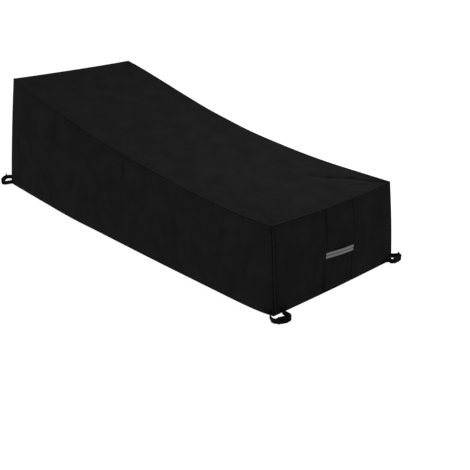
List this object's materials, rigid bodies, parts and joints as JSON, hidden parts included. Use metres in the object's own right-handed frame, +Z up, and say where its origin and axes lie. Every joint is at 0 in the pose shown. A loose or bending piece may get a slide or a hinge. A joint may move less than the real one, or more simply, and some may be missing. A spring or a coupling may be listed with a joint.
{
  "type": "lounge chair cover",
  "caption": "Fitted black cover for a long lounge chair, higher at the head end and open underneath, with a grab handle at the foot end and clip straps at its bottom corners.",
  "frame": {"origin": "middle of the cover's footprint, at the height of its hem", "axes": "+X towards the foot end, +Y towards the far long side, +Z up"},
  "size_m": [2.328, 1.0201, 0.642],
  "materials": {
    "cover_cloth": "coated woven cloth, matt black",
    "handle_webbing": "woven webbing, grey",
    "strap_webbing": "woven webbing, black",
    "clip_plastic": "moulded, fine grain"
  },
  "bodies": {
    "root": {"top_panel": "cover_cloth", "side_panel_near": "cover_cloth", "side_panel_far": "cover_cloth", "head_panel": "cover_cloth", "foot_panel_near": "cover_cloth", "foot_panel_middle": "cover_cloth", "foot_panel_far": "cover_cloth", "grab_handle": "handle_webbing", "strap_near_foot_side": "strap_webbing", "strap_near_foot_end": "strap_webbing", "strap_far_foot_side": "strap_webbing", "strap_far_foot_end": "strap_webbing", "strap_near_head_side": "strap_webbing", "strap_near_head_end": "strap_webbing", "strap_far_head_side": "strap_webbing", "strap_far_head_end": "strap_webbing", "clip_socket_near_foot": "clip_plastic", "clip_plug_near_foot": "clip_plastic", "clip_socket_far_foot": "clip_plastic", "clip_plug_far_foot": "clip_plastic", "clip_socket_near_head": "clip_plastic", "clip_plug_near_head": "clip_plastic", "clip_socket_far_head": "clip_plastic", "clip_plug_far_head": "clip_plastic"}
  },
  "joints": []
}
